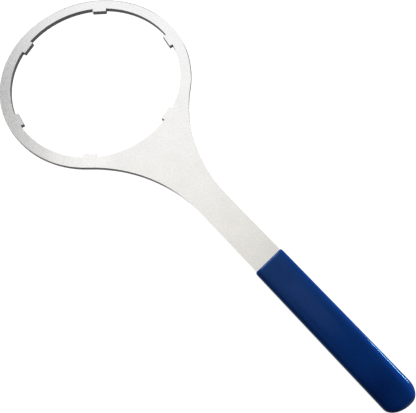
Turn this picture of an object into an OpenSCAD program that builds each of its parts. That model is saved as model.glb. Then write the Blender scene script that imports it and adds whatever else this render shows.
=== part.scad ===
// Filter housing wrench: a flat steel ring spanner whose lugs catch the ribs of a
// filter bowl, with a dipped vinyl grip over the end of its handle.
// The origin is on the ring's axis at half the plate's thickness. +X runs along the handle.

/* [Ring] */
// Diameter of the opening, measured between the lugs
bore_d = 152.4; // [130:0.1:180]
// Width of the band around the opening
band_w = 9.5; // [7:0.1:15]
// Thickness of the steel plate
plate_t = 4.2; // [3:0.1:6]

/* [Lugs] */
// Number of lugs around the opening
lug_count = 6; // [3:1:8]
// Width of each lug
lug_w = 12.6; // [8:0.1:18]
// How far each lug stands into the opening
lug_h = 3.2; // [1.5:0.1:6]
// Angle from the handle's axis to the first lug
lug_turn = 19.5; // [0:0.5:60]

/* [Handle] */
// Width of the handle
handle_w = 25.6; // [22:0.1:32]
// Radius of the hollow flanks that run from the ring into the handle
neck_r = 127; // [80:1:180]
// Length of bare handle between the flanks and the grip
bare_l = 62.7; // [30:0.1:120]
// Radius of the two corners at the handle's end, inside the grip
tang_corner_r = 10.8; // [6:0.1:10.9]

/* [Grip] */
// Length of the grip from its mouth to its tip
grip_l = 141.5; // [90:0.5:180]
// Thickness of the vinyl on every side of the steel
grip_wall = 1.2; // [0.8:0.1:2.4]
// Rounding of the grip's long edges and of its tip
grip_edge_r = 2.4; // [1.2:0.1:2.8]
// Rounding of the rim at the grip's mouth
grip_rim_r = 0.7; // [0.3:0.1:0.9]
// Gap between the vinyl and the steel
grip_gap = 0.05; // [0.02:0.01:0.2]

/* [Hidden] */
$fn = 128;

bore_r = bore_d / 2;
ring_r = bore_r + band_w;

// Each flank is an arc that runs tangent from the ring's rim to the handle's edge.
// It bites a hair into the rim, so that the two arcs meet in one clean corner.
flank_bite = 0.004;
flank_reach = ring_r + neck_r - flank_bite;
flank_y = handle_w / 2 + neck_r;
flank_x = sqrt(pow(flank_reach, 2) - pow(flank_y, 2));

// The skin is the gap and the vinyl together, on every side of the steel
grip_skin = grip_gap + grip_wall;
grip_half_w = handle_w / 2 + grip_skin;
grip_half_t = plate_t / 2 + grip_skin;
edge_r = min(grip_edge_r, 0.9 * grip_half_t);
rim_r = min(grip_rim_r, 0.8 * grip_wall, 0.8 * edge_r);

mouth_x = flank_x + bare_l;
// The steel's rounded corners and the grip's share their centres
corner_y = handle_w / 2 - tang_corner_r;
tip_r = tang_corner_r + grip_skin;
barrel_l = grip_l - tip_r;

// Bar with a rounded end. It starts at start_x, its corners are centred at end_x,
// and it is grown by skin on every side.
module bar_outline(start_x, end_x, skin) {
    half_w = handle_w / 2 + skin;
    corner_r = tang_corner_r + skin;
    translate([start_x, -half_w])
        square([end_x - start_x, 2 * half_w]);
    translate([end_x, -corner_y])
        square([corner_r, 2 * corner_y]);
    for (side = [-1, 1]) {
        translate([end_x, side * corner_y])
            circle(r = corner_r);
    }
}

// Filled waist between the ring and the handle, with hollow flanks
module neck_outline() {
    rim_share = ring_r / flank_reach;
    difference() {
        polygon([
            [0, 0],
            [flank_x * rim_share, -flank_y * rim_share],
            [flank_x, -handle_w / 2],
            [flank_x, handle_w / 2],
            [flank_x * rim_share, flank_y * rim_share]
        ]);
        for (side = [-1, 1]) {
            translate([flank_x, side * flank_y])
                circle(r = neck_r);
        }
    }
}

// Round opening with the lugs left standing in it
module lugged_opening() {
    difference() {
        circle(r = bore_r);
        for (i = [0 : lug_count - 1]) {
            rotate(lug_turn + i * 360 / lug_count)
                translate([bore_r - lug_h, -lug_w / 2])
                    square([lug_h + band_w / 2, lug_w]);
        }
    }
}

module wrench_plate() {
    color("gainsboro")
        translate([0, 0, -plate_t / 2])
            linear_extrude(height = plate_t)
                difference() {
                    union() {
                        circle(r = ring_r);
                        neck_outline();
                        bar_outline(flank_x, mouth_x + barrel_l, 0);
                    }
                    lugged_opening();
                }
}

// Rectangle with rounded corners, given by its half width, half height and corner radius
module round_rect(half_w, half_h, r) {
    square([2 * (half_w - r), 2 * half_h], center = true);
    square([2 * half_w, 2 * (half_h - r)], center = true);
    for (a = [-1, 1], b = [-1, 1]) {
        translate([a * (half_w - r), b * (half_h - r)])
            circle(r = r);
    }
}

// Outer half of the grip's section: flat to its rounded edge at reach
module edge_section(reach) {
    intersection() {
        round_rect(reach, grip_half_t, edge_r);
        translate([0, -grip_half_t])
            square([reach, 2 * grip_half_t]);
    }
}

// Straight length of the grip along +X
module barrel(length) {
    rotate([90, 0, 90])
        linear_extrude(height = length)
            round_rect(grip_half_w, grip_half_t, edge_r);
}

// Rounded rim at the mouth: a narrower core inside a bead that follows the section
module mouth_rim() {
    rotate([90, 0, 90])
        linear_extrude(height = 2 * rim_r)
            round_rect(grip_half_w - rim_r, grip_half_t - rim_r, edge_r - rim_r);
    for (a = [-1, 1], b = [-1, 1]) {
        translate([rim_r, a * (grip_half_w - edge_r), b * (grip_half_t - edge_r)])
            rotate([0, 90, 0])
                rotate_extrude()
                    translate([edge_r - rim_r, 0])
                        circle(r = rim_r);
    }
    for (b = [-1, 1]) {
        translate([rim_r, 0, b * (grip_half_t - rim_r)])
            rotate([90, 0, 0])
                cylinder(r = rim_r, h = 2 * (grip_half_w - edge_r), center = true);
    }
    for (a = [-1, 1]) {
        translate([rim_r, a * (grip_half_w - rim_r), 0])
            cylinder(r = rim_r, h = 2 * (grip_half_t - edge_r), center = true);
    }
}

// Rounded tip: two turned corners and the straight stretch between them
module tip() {
    for (side = [-1, 1]) {
        translate([0, side * corner_y, 0])
            rotate_extrude()
                edge_section(tip_r);
    }
    translate([0, corner_y, 0])
        rotate([90, 0, 0])
            linear_extrude(height = 2 * corner_y)
                edge_section(tip_r);
}

module grip() {
    color("midnightblue")
        translate([mouth_x + barrel_l, 0, 0])
            difference() {
                union() {
                    translate([rim_r - barrel_l, 0, 0])
                        barrel(barrel_l - rim_r);
                    translate([-barrel_l, 0, 0])
                        mouth_rim();
                    tip();
                }
                translate([0, 0, -plate_t / 2 - grip_gap])
                    linear_extrude(height = plate_t + 2 * grip_gap)
                        bar_outline(-grip_l, 0, grip_gap);
            }
}

wrench_plate();
grip();
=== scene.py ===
"""Looks of the filter housing wrench: satin steel plate, dipped vinyl grip, floor, light and camera."""
import math

import bpy
from mathutils import Matrix, Vector


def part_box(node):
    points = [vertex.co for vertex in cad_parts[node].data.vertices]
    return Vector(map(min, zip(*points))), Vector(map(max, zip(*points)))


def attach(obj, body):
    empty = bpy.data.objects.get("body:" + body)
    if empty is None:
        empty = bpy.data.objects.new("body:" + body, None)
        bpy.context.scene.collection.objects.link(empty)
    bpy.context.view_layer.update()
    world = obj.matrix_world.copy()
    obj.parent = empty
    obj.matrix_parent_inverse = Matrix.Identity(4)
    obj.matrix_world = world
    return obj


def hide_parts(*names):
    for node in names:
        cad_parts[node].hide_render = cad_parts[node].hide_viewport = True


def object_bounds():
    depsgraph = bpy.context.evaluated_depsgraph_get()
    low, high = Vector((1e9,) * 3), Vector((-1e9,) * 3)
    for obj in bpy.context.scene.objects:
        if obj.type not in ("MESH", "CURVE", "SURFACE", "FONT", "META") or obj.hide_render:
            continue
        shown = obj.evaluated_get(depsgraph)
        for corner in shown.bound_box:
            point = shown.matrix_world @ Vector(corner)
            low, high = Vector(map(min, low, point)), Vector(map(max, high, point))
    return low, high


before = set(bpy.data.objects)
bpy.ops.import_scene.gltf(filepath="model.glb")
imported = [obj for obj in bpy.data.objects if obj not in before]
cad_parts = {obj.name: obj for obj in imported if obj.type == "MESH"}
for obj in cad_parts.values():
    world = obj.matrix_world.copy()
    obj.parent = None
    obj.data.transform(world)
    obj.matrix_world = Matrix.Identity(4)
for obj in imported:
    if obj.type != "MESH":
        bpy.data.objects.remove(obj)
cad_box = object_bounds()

MM = 0.001

# Camera, in the part's frame
CAMERA_AT = (0.2937, -0.0878, 0.4292)
CAMERA_RIGHT = (0.6579, 0.7504, -0.0636)
CAMERA_UP = (-0.6920, 0.6356, 0.3423)
CAMERA_LENS = 49.22
CAMERA_SENSOR = 36.0
CAMERA_NEAR = 0.01

# Noise textures: the range that most of their values lie in, and their own roughness
NOISE_RANGE = (0.3, 0.7)
NOISE_ROUGHNESS = 0.55

# Plate: edge break left by the cutting and tumbling
EDGE_BREAK = 0.40 * MM
EDGE_STEPS = 3
WELD_REACH = 0.01 * MM
SHARP_ANGLE = math.radians(32)

# Where a face ends and a wall begins, by the normal's upright part, at edges that face in and out
FACE_EDGE_IN = (0.30, 0.75)
FACE_EDGE_OUT = (0.90, 0.995)
OUTWARD_RANGE = (20 * MM, 35 * MM)

# Satin faces: a clean tone that clouds from low to high, with a dull grain. Noises are scale and detail
GRAIN_NOISE = (750.0, 3.0)
GRAIN_RANGE = (0.30, 0.62)
GRAIN_DEEP = 0.06 * MM
CLOUD_NOISE = (60.0, 3.0)
FACE_DULL = (0.765, 0.762, 0.754)
FACE_LOW = (0.880, 0.876, 0.868)
FACE_HIGH = (0.938, 0.936, 0.931)
FACE_ROUGH = (0.26, 0.34)
BUMP_STRENGTH = 0.6

# Paler patch of the ring, by its angle round the ring
PALE_PATCH_TURN = 312
PALE_PATCH_R = 81 * MM
PALE_PATCH_REACH = (16 * MM, 38 * MM)
PALE_PATCH_SHARE = 0.85
PALE_PATCH_COLOUR = (0.955, 0.950, 0.940)

# Painted shade along the ring's outer edge: each stretch is its middle and half length in degrees, and
# its depth
EDGE_SHADE_WIDE = 0.85 * MM
EDGE_SHADE_STRETCHES = ((60, 10, 1.0), (134, 34, 0.65), (279, 15, 0.50))
EDGE_SHADE_FADE = 6
EDGE_SHADE_LAST = (0.80, 0.86)
EDGE_SHADE_COLOUR = (0.16, 0.16, 0.162)

# Cut walls: upright striae, and a darker band along the lower arris
STRIAE_NOISE = (1.0, 2.0)
STRIAE_STRETCH = (1400.0, 1400.0, 60.0)
STRIAE_DEEP = 0.05 * MM
CUT_LOW = (0.055, 0.055, 0.057)
CUT_HIGH = (0.125, 0.125, 0.125)
CUT_ROUGH = (0.45, 0.65)
LOW_BAND_RANGE = (-1.9 * MM, -1.1 * MM)
LOW_BAND_COLOUR = (0.030, 0.030, 0.031)

# Painted highlight on the walls: along the handle, on the inner walls of the opening that face one way,
# and on the end of one lug
WALL_HIGHLIGHT_COLOUR = (0.95, 0.945, 0.935)
HANDLE_HIGHLIGHT_RANGE = (111 * MM, 153 * MM)
LIT_SIDE_TURN = 232
LIT_SIDE_RANGE = (0.90, 0.96)
INSIDE_RANGE = (-60 * MM, -40 * MM)
LUG_HIGHLIGHT_AT = (60.8 * MM, -43.6 * MM, 0.0)
LUG_HIGHLIGHT_REACH = (3.5 * MM, 5.5 * MM)

# Vinyl: deep tone with fine flecks, and painted shade at the near corner of the tip
TONE_NOISE = (45.0, 2.0)
FLECK_NOISE = (2500.0, 1.0)
FLECK_RANGE = (0.55, 0.8)
VINYL_LOW = (0.0012, 0.0103, 0.0535)
VINYL_HIGH = (0.0015, 0.0120, 0.0620)
VINYL_FLECK = (0.0030, 0.0200, 0.105)
VINYL_SHADE = (0.0008, 0.0058, 0.0335)
TIP_SHADE_AT = (346 * MM, -7 * MM, 0.0)
TIP_SHADE_REACH = (3 * MM, 22 * MM)
PEEL_NOISE = (150.0, 1.0)
PEEL_DEEP = 0.02 * MM
PEEL_STRENGTH = 0.12
VINYL_ROUGH = (0.08, 0.12)
VINYL_SPECULAR = 0.20
VINYL_TINT = (0.42, 0.72, 1.0, 1.0)

# Steel inside the grip, and the hollow for it: where its rings lie before the corners and past the mouth
TANG_HALF_W = 12.8 * MM
TANG_HALF_T = 2.1 * MM
TANG_CORNER_R = 10.8 * MM
GRIP_GAP = 0.05 * MM
GRIP_SKIN = 1.25 * MM
HOLLOW_STEPS = 10
HOLLOW_TURN = 89.0
HOLLOW_BEFORE = (30 * MM, 70 * MM)
HOLLOW_PAST = (20 * MM, 4 * MM, 0.0)

# Rim at the grip's mouth, which runs slightly askew
RIM_LONG = 3.0 * MM
RIM_SIDE = 0.45
RIM_STEPS = 10
MOUTH_SLANT = 0.04
MOUTH_FADE = 40 * MM

# Grip's section: a high power is boxy, and each side softens towards the tip
SECTION_QUARTER = 20
SECTION_BULGE = 0.85
POWER_LEFT = 4.9
POWER_LEFT_DROP = 0.6
POWER_RIGHT = 4.2
POWER_RIGHT_DROP = 1.2
RIGHT_DROP_FROM = 0.66
RIGHT_DROP_LONG = 0.24
BARREL_STEPS = 24

# Grip's tip, which leans to one side
TIP_ROLL = 3.8 * MM
TIP_LEAN = 3.9 * MM
TIP_LEFT = 10.1 * MM
TIP_RIGHT = 12.0 * MM
TIP_STEPS = 28
TIP_TURN = 89.4

# Floor that sweeps up into a low round wall
FLOOR_MIDDLE = 0.6
COVE_FLAT = 3.5
COVE_ROUND = 1.0
COVE_HIGH = 1.3
COVE_SIDES = 64
COVE_STEPS = 8
FLOOR_WHITE = (1, 1, 1, 1)
FLOOR_MATT = (0.22, 0.22, 0.22, 1)
FLOOR_GLOW = 0.93

# World: levels and tint between two elevations in degrees
HORIZON = (22, 85, 0.75, 0.0)
TINT_HEIGHT = (54, 76, 0.0, 1.0)
TINT_LOW = (0.994, 1.0, 1.02)
TINT_HIGH = (1.025, 1.0, 0.94)

# World patches: azimuth, elevation, outer and inner radius in degrees, level outside and within
BRIGHT_WALL = (163, 63.5, 34, 1, 0.0, 1.18)
WALL_GAP = (73, 78, 10, 7, 1.0, 0.25)
WINDOW = (104.1, 77.95, 3.75, 1.8, 0.0, 0.85)
DARK_CORNER = (200, 36.3, 24.5, 22, 1.0, 0.0)
WAIST_SHADE = (151, 66, 9, 2, 1.0, 0.92)
HANDLE_LIFT = (130, 75, 8, 2, 1.0, 1.10)

# Lamps: place, aim, width and height in metres, and watts
SIDE_STRIP = ((0.44, 0.83, 0.58), (0.33, 0.0, 0.0), 0.15, 0.13, 6.3)
SIDE_GLOW = ((0.52, 0.62, 0.79), (0.33, 0.0, 0.0), 0.55, 0.50, 2.6)
MOUTH_STRIP = ((-0.67, 0.24, 0.77), (0.223, 0.0, 0.0), 0.40, 0.20, 4.2)
SIDE_WALL = ((0.26, 1.00, 0.10), (0.29, 0.0, 0.0), 1.40, 0.18, 66.0)
FAR_WALL = ((-1.0, 0.0, 0.11), (0.22, 0.0, 0.0), 1.00, 0.18, 60.0)
STRIP_COLOUR = (0.53, 0.87, 1.0)
GLOW_COLOUR = (0.02, 0.12, 1.0)


def node_tree(owner):
    """Empty node tree of a material or world."""
    owner.use_nodes = True
    tree = owner.node_tree
    tree.nodes.clear()
    return tree


def add(tree, kind, **inputs):
    """Node of that kind, with its sockets set by name, or by number as i1, i2 and so on."""
    node = tree.nodes.new(kind)
    for key, value in inputs.items():
        name = int(key[1:]) if key[0] == "i" and key[1:].isdigit() else key.replace("_", " ")
        node.inputs[name].default_value = value
    return node


def noise(tree, coords, scale, detail, stretch=None):
    """Noise texture over coords in metres. stretch scales each axis first."""
    source = coords
    if stretch:
        mapping = add(tree, "ShaderNodeMapping", Scale=stretch)
        tree.links.new(coords, mapping.inputs["Vector"])
        source = mapping.outputs["Vector"]
    tex = add(tree, "ShaderNodeTexNoise", Scale=scale, Detail=detail, Roughness=NOISE_ROUGHNESS)
    tree.links.new(source, tex.inputs["Vector"])
    return tex.outputs["Fac"]


def spread(tree, value, low, high, to_low=0.0, to_high=1.0, smooth=False):
    """Maps low to high on to_low to to_high."""
    node = add(tree, "ShaderNodeMapRange", i1=low, i2=high, i3=to_low, i4=to_high)
    node.interpolation_type = "SMOOTHSTEP" if smooth else "LINEAR"
    tree.links.new(value, node.inputs[0])
    return node.outputs[0]


def mix_colour(tree, factor, one, two):
    """Mix of two colours, each a tuple or a socket."""
    node = tree.nodes.new("ShaderNodeMix")
    node.data_type = "RGBA"
    tree.links.new(factor, node.inputs[0])
    for socket, colour in ((node.inputs[6], one), (node.inputs[7], two)):
        if isinstance(colour, tuple):
            socket.default_value = (*colour, 1.0)
        else:
            tree.links.new(colour, socket)
    return node.outputs[2]


def mix_value(tree, factor, one, two):
    """Mix of two numbers, each a socket."""
    node = tree.nodes.new("ShaderNodeMix")
    node.data_type = "FLOAT"
    tree.links.new(factor, node.inputs[0])
    tree.links.new(one, node.inputs[2])
    tree.links.new(two, node.inputs[3])
    return node.outputs[0]


def combine(tree, operation, one, two):
    """Sum, product or the like of two sockets."""
    node = tree.nodes.new("ShaderNodeMath")
    node.operation = operation
    tree.links.new(one, node.inputs[0])
    tree.links.new(two, node.inputs[1])
    return node.outputs[0]


def measure(tree, operation, one, two=None):
    """Length, distance or dot product. The second vector is a socket or plain numbers."""
    node = tree.nodes.new("ShaderNodeVectorMath")
    node.operation = operation
    tree.links.new(one, node.inputs[0])
    if isinstance(two, bpy.types.NodeSocket):
        tree.links.new(two, node.inputs[1])
    elif two is not None:
        node.inputs[1].default_value = two
    return node.outputs["Value"]


def axis(tree, vector, name):
    """One part of a vector: X, Y or Z."""
    node = tree.nodes.new("ShaderNodeSeparateXYZ")
    tree.links.new(vector, node.inputs[0])
    return node.outputs[name]


def bump(tree, height, distance, strength):
    """Normal bent by the slope of height."""
    node = add(tree, "ShaderNodeBump", Strength=strength, Distance=distance)
    tree.links.new(height, node.inputs["Height"])
    return node.outputs["Normal"]


def show(tree, shader, kind="ShaderNodeOutputMaterial"):
    """Links a shader to the output of its material or world."""
    out = tree.nodes.new(kind)
    tree.links.new(shader.outputs[0], out.inputs["Surface"])


def direction(azimuth, elevation):
    """Unit vector. Azimuth turns from +X to +Y."""
    a, e = math.radians(azimuth), math.radians(elevation)
    return Vector((math.cos(a) * math.cos(e), math.sin(a) * math.cos(e), math.sin(e)))


def face_mask(tree, facing, outward):
    """1 on the flat faces and 0 on the walls. A broken edge that faces out counts as wall."""
    upright = tree.nodes.new("ShaderNodeMath")
    upright.operation = "ABSOLUTE"
    tree.links.new(axis(tree, facing, "Z"), upright.inputs[0])
    face_in = spread(tree, upright.outputs[0], *FACE_EDGE_IN, smooth=True)
    face_out = spread(tree, upright.outputs[0], *FACE_EDGE_OUT, smooth=True)
    return mix_value(tree, spread(tree, outward, *OUTWARD_RANGE, smooth=True), face_in, face_out)


def edge_shade_line(tree, here, along):
    """Mask of the narrow line of painted shade along the ring's outer edge."""
    ring_r = -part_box("wrench_plate")[0].x
    radius = measure(tree, "LENGTH", here)
    line = spread(tree, radius, ring_r - EDGE_SHADE_WIDE, ring_r - EDGE_SHADE_WIDE / 2, smooth=True)
    dark = None
    for turn, half, depth in EDGE_SHADE_STRETCHES:
        toward = measure(tree, "DOT_PRODUCT", here, direction(turn, 0))
        ends = [ring_r * math.cos(math.radians(half + fade)) for fade in (EDGE_SHADE_FADE, -EDGE_SHADE_FADE)]
        stretch = spread(tree, toward, *ends, 0.0, depth, smooth=True)
        dark = combine(tree, "MAXIMUM", dark, stretch) if dark else stretch
    ring_only = spread(tree, along, *[share * ring_r for share in EDGE_SHADE_LAST], 1.0, 0.0)
    return combine(tree, "MULTIPLY", combine(tree, "MULTIPLY", line, ring_only), dark)


def face_colour(tree, here, grain):
    """Satin faces: clouded and grained, with a paler patch and a line of painted shade along the outer
    edge.
    """
    cloud = noise(tree, here, *CLOUD_NOISE)
    clean = mix_colour(tree, spread(tree, cloud, *NOISE_RANGE), FACE_LOW, FACE_HIGH)
    satin = mix_colour(tree, spread(tree, grain, *GRAIN_RANGE), FACE_DULL, clean)
    # A paler patch of the satin on one part of the ring
    away = measure(tree, "DISTANCE", here, PALE_PATCH_R * direction(PALE_PATCH_TURN, 0))
    pale_patch = spread(tree, away, *PALE_PATCH_REACH, PALE_PATCH_SHARE, 0.0, smooth=True)
    satin = mix_colour(tree, pale_patch, satin, PALE_PATCH_COLOUR)
    # Painted shade: a narrow dark line along the ring's outer edge
    return mix_colour(tree, edge_shade_line(tree, here, axis(tree, here, "X")), satin, EDGE_SHADE_COLOUR)


def wall_colour(tree, here, facing, outward, striae):
    """Dark cut walls, darker towards the lower arris, with painted highlight along the handle, on one
    side of the opening and on one lug's end.
    """
    cut = mix_colour(tree, spread(tree, striae, *NOISE_RANGE), CUT_LOW, CUT_HIGH)
    # The walls turn darker towards their lower arris
    low_band = spread(tree, axis(tree, here, "Z"), *LOW_BAND_RANGE, smooth=True)
    banded_cut = mix_colour(tree, low_band, LOW_BAND_COLOUR, cut)
    # Painted highlight: the walls along the handle, the inner walls facing one way and one lug's end are
    # made bright
    handle_highlight = spread(tree, axis(tree, here, "X"), *HANDLE_HIGHLIGHT_RANGE, smooth=True)
    aside = measure(tree, "DOT_PRODUCT", facing, direction(LIT_SIDE_TURN, 0))
    inside = spread(tree, outward, *INSIDE_RANGE, 1.0, 0.0)
    lit_side_highlight = combine(tree, "MULTIPLY", spread(tree, aside, *LIT_SIDE_RANGE), inside)
    away = measure(tree, "DISTANCE", here, LUG_HIGHLIGHT_AT)
    lug_highlight = spread(tree, away, *LUG_HIGHLIGHT_REACH, 1.0, 0.0)
    wall_highlight = combine(tree, "MAXIMUM", handle_highlight, combine(tree, "MAXIMUM", lit_side_highlight, lug_highlight))
    return mix_colour(tree, wall_highlight, banded_cut, WALL_HIGHLIGHT_COLOUR)


def steel_normal(tree, face, grain, striae):
    """Grain on the faces and striae on the walls."""
    node = tree.nodes.new("ShaderNodeMix")
    node.data_type = "VECTOR"
    tree.links.new(face, node.inputs[0])
    tree.links.new(bump(tree, striae, STRIAE_DEEP, BUMP_STRENGTH), node.inputs[4])
    tree.links.new(bump(tree, grain, GRAIN_DEEP, BUMP_STRENGTH), node.inputs[5])
    return node.outputs[1]


def steel_material():
    """Satin tumbled faces, with darker cut walls between them."""
    material = bpy.data.materials.new("steel")
    tree = node_tree(material)
    coords = add(tree, "ShaderNodeTexCoord")
    here, facing = coords.outputs["Object"], coords.outputs["Normal"]
    outward = measure(tree, "DOT_PRODUCT", here, facing)
    face = face_mask(tree, facing, outward)
    grain = noise(tree, here, *GRAIN_NOISE)
    striae = noise(tree, here, *STRIAE_NOISE, stretch=STRIAE_STRETCH)

    wall = wall_colour(tree, here, facing, outward, striae)
    colour = mix_colour(tree, face, wall, face_colour(tree, here, grain))
    face_rough = spread(tree, grain, *NOISE_RANGE, *FACE_ROUGH)
    cut_rough = spread(tree, striae, *NOISE_RANGE, *CUT_ROUGH)
    shader = add(tree, "ShaderNodeBsdfPrincipled", Metallic=1.0)
    tree.links.new(colour, shader.inputs["Base Color"])
    tree.links.new(mix_value(tree, face, cut_rough, face_rough), shader.inputs["Roughness"])
    tree.links.new(steel_normal(tree, face, grain, striae), shader.inputs["Normal"])
    show(tree, shader)
    return material


def vinyl_material():
    """Glossy navy vinyl with a faint orange peel, a slightly uneven tone and gloss, and painted shade at
    the near corner of the tip.
    """
    material = bpy.data.materials.new("vinyl")
    tree = node_tree(material)
    here = add(tree, "ShaderNodeTexCoord").outputs["Object"]
    tone = noise(tree, here, *TONE_NOISE)
    peel = noise(tree, here, *PEEL_NOISE)
    fleck = noise(tree, here, *FLECK_NOISE)

    deep = mix_colour(tree, spread(tree, tone, *NOISE_RANGE), VINYL_LOW, VINYL_HIGH)
    # Painted shade: darker at the near corner of the tip; thick here is the mask of that shade
    thick = spread(tree, measure(tree, "DISTANCE", here, TIP_SHADE_AT), *TIP_SHADE_REACH, 1.0, 0.0)
    deep = mix_colour(tree, thick, deep, VINYL_SHADE)
    colour = mix_colour(tree, spread(tree, fleck, *FLECK_RANGE), deep, VINYL_FLECK)
    gloss = {"Specular_IOR_Level": VINYL_SPECULAR, "Specular_Tint": VINYL_TINT}
    shader = add(tree, "ShaderNodeBsdfPrincipled", **gloss)
    tree.links.new(colour, shader.inputs["Base Color"])
    tree.links.new(spread(tree, peel, *NOISE_RANGE, *VINYL_ROUGH), shader.inputs["Roughness"])
    tree.links.new(bump(tree, peel, PEEL_DEEP, PEEL_STRENGTH), shader.inputs["Normal"])
    show(tree, shader)
    return material


def dress_plate(material):
    """The plate keeps its CAD node, with its sharp edges slightly broken."""
    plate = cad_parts["wrench_plate"]
    weld = plate.modifiers.new("weld", "WELD")
    weld.merge_threshold = WELD_REACH
    edge = plate.modifiers.new("edge_break", "BEVEL")
    edge.width = EDGE_BREAK
    edge.segments = EDGE_STEPS
    edge.limit_method = "ANGLE"
    edge.angle_limit = SHARP_ANGLE
    edge.harden_normals = True
    plate.data.materials.clear()
    plate.data.materials.append(material)


def clamp(u):
    """u, held between 0 and 1."""
    return min(max(0.0, u), 1.0)


def ease(u):
    """Smooth rise from 0 to 1."""
    return u * u * (3 - 2 * u)


def ring_turns():
    """Angles round a section, closest together at its four corners."""
    turns = []
    for quarter in range(4):
        for i in range(SECTION_QUARTER):
            u = 2.0 * i / SECTION_QUARTER - 1.0
            bent = (1.0 - SECTION_BULGE) * u + SECTION_BULGE * u ** 3
            turns.append(math.radians(90.0 * quarter + 45.0 + 45.0 * bent))
    return turns


def section(x, left, right, centre, half_t, power_left, power_right):
    """Rounded section at x between y = left and y = right. A high power makes it boxy."""
    ring = []
    for a in ring_turns():
        c, s = math.cos(a), math.sin(a)
        power, reach = (power_right, right - centre) if c > 0 else (power_left, centre - left)
        most = max(abs(c), abs(s))
        share = ((abs(c) / most) ** power + (abs(s) / most) ** power) ** (-1.0 / power) / most
        ring.append(Vector((x, centre + reach * c * share, half_t * s * share)))
    return ring


def box_section(x, half_w, half_t):
    """Square-cornered section at x, for the hollow that holds the steel."""
    ring = []
    for a in ring_turns():
        c, s = math.cos(a), math.sin(a)
        most = max(abs(c), abs(s))
        ring.append(Vector((x, half_w * c / most, half_t * s / most)))
    return ring


def loft(name, rings):
    """Closed skin through the rings, with a point at each end."""
    count = len(rings[0])
    points = [p for ring in rings for p in ring]
    first, last = len(points), len(points) + 1
    points.append(sum(rings[0], Vector()) / count)
    points.append(sum(rings[-1], Vector()) / count)
    faces = []
    for r in range(len(rings) - 1):
        for i in range(count):
            j = (i + 1) % count
            a, b = r * count, (r + 1) * count
            faces.append((a + i, a + j, b + j, b + i))
    end = (len(rings) - 1) * count
    for i in range(count):
        j = (i + 1) % count
        faces.append((first, j, i))
        faces.append((last, end + i, end + j))
    mesh = bpy.data.meshes.new(name)
    mesh.from_pydata(points, [], faces)
    mesh.polygons.foreach_set("use_smooth", [True] * len(mesh.polygons))
    mesh.update()
    piece = bpy.data.objects.new(name, mesh)
    bpy.context.scene.collection.objects.link(piece)
    return piece


def grip_sizes():
    """Mouth, end, half width and half thickness of the grip, and the same halves of its hollow."""
    low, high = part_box("grip")
    return low.x, high.x, high.y, high.z, TANG_HALF_W + GRIP_GAP, TANG_HALF_T + GRIP_GAP


def section_powers(x):
    """Left and right power of the grip's section at x."""
    mouth, end = grip_sizes()[:2]
    along = (x - mouth) / (end - mouth)
    late = clamp((along - RIGHT_DROP_FROM) / RIGHT_DROP_LONG)
    return POWER_LEFT - POWER_LEFT_DROP * ease(along), POWER_RIGHT - POWER_RIGHT_DROP * ease(late)


def side_edge(x, long, edge):
    """Where the plan's edge is at x, on a side whose tip is that long."""
    end = grip_sizes()[1]
    near = clamp((x - (end - long)) / long)
    return TIP_LEAN + (edge - TIP_LEAN) * math.sqrt(1 - near * near)


def hollow_rings():
    """Rings of the hollow for the steel, from its rounded end back to the mouth."""
    mouth, end, _, _, hollow_w, hollow_t = grip_sizes()
    corner_x = end - TANG_CORNER_R - GRIP_SKIN
    corner_r = TANG_CORNER_R + GRIP_GAP
    corner_y = hollow_w - corner_r
    rings = []
    for i in range(HOLLOW_STEPS, -1, -1):
        a = math.radians(HOLLOW_TURN * i / HOLLOW_STEPS)
        half_w = corner_y + corner_r * math.cos(a)
        rings.append(box_section(corner_x + corner_r * math.sin(a), half_w, hollow_t))
    for x in [corner_x - step for step in HOLLOW_BEFORE] + [mouth + step for step in HOLLOW_PAST]:
        rings.append(box_section(x, hollow_w, hollow_t))
    return rings


def rim_rings():
    """Rings from the mouth out over its rounded rim."""
    mouth, _, half_w, half_t, hollow_w, hollow_t = grip_sizes()
    rings = []
    for i in range(1, RIM_STEPS + 1):
        a = math.radians(90.0 * i / RIM_STEPS)
        x = mouth + RIM_LONG * (1 - math.cos(a))
        out = math.sin(a)
        wide = hollow_w + (half_w - hollow_w) * out ** RIM_SIDE
        thick = hollow_t + (half_t - hollow_t) * out
        rings.append(section(x, -wide, wide, 0.0, thick, *section_powers(x)))
    return rings


def barrel_rings():
    """Rings of the straight length between the rim and the tip."""
    mouth, end, half_w, half_t = grip_sizes()[:4]
    start, stop = mouth + RIM_LONG, end - max(TIP_LEFT, TIP_RIGHT)
    rings = []
    for i in range(1, BARREL_STEPS + 1):
        x = start + (stop - start) * i / BARREL_STEPS
        rings.append(section(x, -half_w, half_w, 0.0, half_t, *section_powers(x)))
    return rings


def tip_rings():
    """Rings round the leaning tip."""
    _, end, half_w, half_t = grip_sizes()[:4]
    tip_long = max(TIP_LEFT, TIP_RIGHT)
    rings = []
    for i in range(1, TIP_STEPS + 1):
        near = math.sin(math.radians(TIP_TURN * i / TIP_STEPS))
        x = end - tip_long + tip_long * near
        roll = max(0.0, (x - (end - TIP_ROLL)) / TIP_ROLL)
        left, right = side_edge(x, TIP_LEFT, -half_w), side_edge(x, TIP_RIGHT, half_w)
        thick = half_t * math.sqrt(1 - roll * roll)
        rings.append(section(x, left, right, TIP_LEAN * near * near, thick, *section_powers(x)))
    return rings


def slant_mouth(rings):
    """Slides the points near the mouth along, so that it runs askew."""
    mouth = grip_sizes()[0]
    for ring in rings:
        for p in ring:
            fade = max(0.0, 1 - (p.x - mouth) / MOUTH_FADE)
            p.x -= MOUTH_SLANT * p.y * fade * fade


def make_grip(material):
    """Vinyl sleeve as one closed skin, from the end of its hollow, out over the rim and on to the tip."""
    rings = hollow_rings() + rim_rings() + barrel_rings() + tip_rings()
    slant_mouth(rings)
    piece = loft("vinyl_grip", rings)
    piece.data.materials.append(material)
    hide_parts("grip")
    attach(piece, "root")
    return piece


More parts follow.
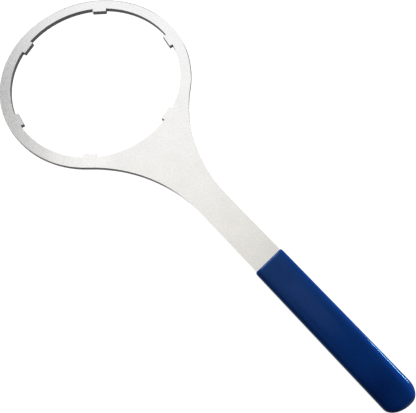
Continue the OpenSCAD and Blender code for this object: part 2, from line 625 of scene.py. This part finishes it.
def floor_material():
    """White that is partly its own light where it is seen directly or in a reflection."""
    material = bpy.data.materials.new("floor_white")
    tree = node_tree(material)
    path = tree.nodes.new("ShaderNodeLightPath")
    seen = combine(tree, "MAXIMUM", path.outputs["Is Camera Ray"], path.outputs["Is Glossy Ray"])
    seen = combine(tree, "MAXIMUM", seen, path.outputs["Is Transmission Ray"])
    shine = add(tree, "ShaderNodeEmission", Color=FLOOR_WHITE)
    tree.links.new(spread(tree, seen, 0.0, 1.0, 0.0, FLOOR_GLOW), shine.inputs["Strength"])
    matt = add(tree, "ShaderNodeBsdfDiffuse", Color=FLOOR_MATT)
    both = tree.nodes.new("ShaderNodeAddShader")
    tree.links.new(matt.outputs[0], both.inputs[0])
    tree.links.new(shine.outputs[0], both.inputs[1])
    show(tree, both)
    return material


def make_floor(material):
    """Round floor under the grip, which sweeps up into a low wall."""
    level = cad_box[0].z
    profile = [(FLOOR_MIDDLE, 0.0), (COVE_FLAT, 0.0)]
    for i in range(1, COVE_STEPS + 1):
        a = math.radians(90.0 * i / COVE_STEPS)
        profile.append((COVE_FLAT + COVE_ROUND * math.sin(a), COVE_ROUND * (1 - math.cos(a))))
    profile.append((COVE_FLAT + COVE_ROUND, COVE_HIGH))
    points, faces = [(0.0, 0.0, level)], []
    for radius, height in profile:
        for i in range(COVE_SIDES):
            a = 2 * math.pi * i / COVE_SIDES
            points.append((radius * math.cos(a), radius * math.sin(a), level + height))
    for i in range(COVE_SIDES):
        j = (i + 1) % COVE_SIDES
        faces.append((0, 1 + i, 1 + j))
        for r in range(len(profile) - 1):
            a, b = 1 + r * COVE_SIDES, 1 + (r + 1) * COVE_SIDES
            faces.append((a + i, b + i, b + j, a + j))
    mesh = bpy.data.meshes.new("floor")
    mesh.from_pydata(points, [], faces)
    mesh.materials.append(material)
    floor = bpy.data.objects.new("floor", mesh)
    bpy.context.scene.collection.objects.link(floor)


def sky_height(tree, way, low, high, at_low, at_high):
    """Level that goes from at_low to at_high between two elevations."""
    ends = [math.sin(math.radians(elevation)) for elevation in (low, high)]
    return spread(tree, axis(tree, way, "Z"), *ends, at_low, at_high, smooth=True)


def sky_patch(tree, way, azimuth, elevation, outer, inner, outside, within):
    """Round patch with a soft edge between its outer and inner radius."""
    ends = [math.cos(math.radians(radius)) for radius in (outer, inner)]
    toward = measure(tree, "DOT_PRODUCT", way, direction(azimuth, elevation))
    return spread(tree, toward, *ends, outside, within, smooth=True)


def make_world():
    """Pale studio: bright at the horizon, dim overhead, with a large bright wall behind the ring."""
    world = bpy.data.worlds.new("studio")
    bpy.context.scene.world = world
    tree = node_tree(world)
    way = add(tree, "ShaderNodeTexCoord").outputs["Generated"]
    wall = combine(tree, "MULTIPLY", sky_patch(tree, way, *BRIGHT_WALL), sky_patch(tree, way, *WALL_GAP))
    light = combine(tree, "ADD", sky_height(tree, way, *HORIZON), wall)
    light = combine(tree, "ADD", light, sky_patch(tree, way, *WINDOW))
    for patch in (DARK_CORNER, WAIST_SHADE, HANDLE_LIFT):
        light = combine(tree, "MULTIPLY", light, sky_patch(tree, way, *patch))
    tint = mix_colour(tree, sky_height(tree, way, *TINT_HEIGHT), TINT_LOW, TINT_HIGH)
    back = tree.nodes.new("ShaderNodeBackground")
    tree.links.new(tint, back.inputs["Color"])
    tree.links.new(light, back.inputs["Strength"])
    show(tree, back, "ShaderNodeOutputWorld")


def soft_box(name, at, aim, size_x, size_y, watts):
    """Area lamp that the camera doesn't see."""
    lamp = bpy.data.lights.new(name, "AREA")
    lamp.shape = "RECTANGLE"
    lamp.size, lamp.size_y = size_x, size_y
    lamp.energy = watts
    obj = bpy.data.objects.new(name, lamp)
    bpy.context.scene.collection.objects.link(obj)
    obj.location = at
    obj.rotation_euler = (Vector(aim) - Vector(at)).to_track_quat("-Z", "Y").to_euler()
    obj.visible_camera = False
    return obj


def make_lamps(grip):
    """Two strips and a glow that light the grip alone, and two low walls of light with no reflection."""
    strip = soft_box("side_strip", *SIDE_STRIP)
    strip.data.color = STRIP_COLOUR
    glow = soft_box("side_glow", *SIDE_GLOW)
    glow.data.color = GLOW_COLOUR
    glow.visible_diffuse = False
    mouth_strip = soft_box("mouth_strip", *MOUTH_STRIP)
    grip_alone = bpy.data.collections.new("strip_lights")
    grip_alone.objects.link(grip)
    for lamp in (strip, glow, mouth_strip):
        lamp.light_linking.receiver_collection = grip_alone
    for wall in (soft_box("side_wall", *SIDE_WALL), soft_box("far_wall", *FAR_WALL)):
        wall.visible_glossy = False


def make_camera():
    """Camera at the photograph's viewing angle."""
    camera = bpy.data.cameras.new("camera")
    camera.sensor_fit = "HORIZONTAL"
    camera.sensor_width = CAMERA_SENSOR
    camera.lens = CAMERA_LENS
    camera.clip_start = CAMERA_NEAR
    obj = bpy.data.objects.new("camera", camera)
    bpy.context.scene.collection.objects.link(obj)
    right = Vector(CAMERA_RIGHT).normalized()
    up = Vector(CAMERA_UP)
    up = (up - right * up.dot(right)).normalized()
    turn = Matrix((right, up, right.cross(up))).transposed()
    obj.matrix_world = Matrix.Translation(CAMERA_AT) @ turn.to_4x4()
    bpy.context.scene.camera = obj


bpy.context.scene.view_settings.view_transform = "Standard"
make_camera()
make_floor(floor_material())
make_world()
dress_plate(steel_material())
make_lamps(make_grip(vinyl_material()))
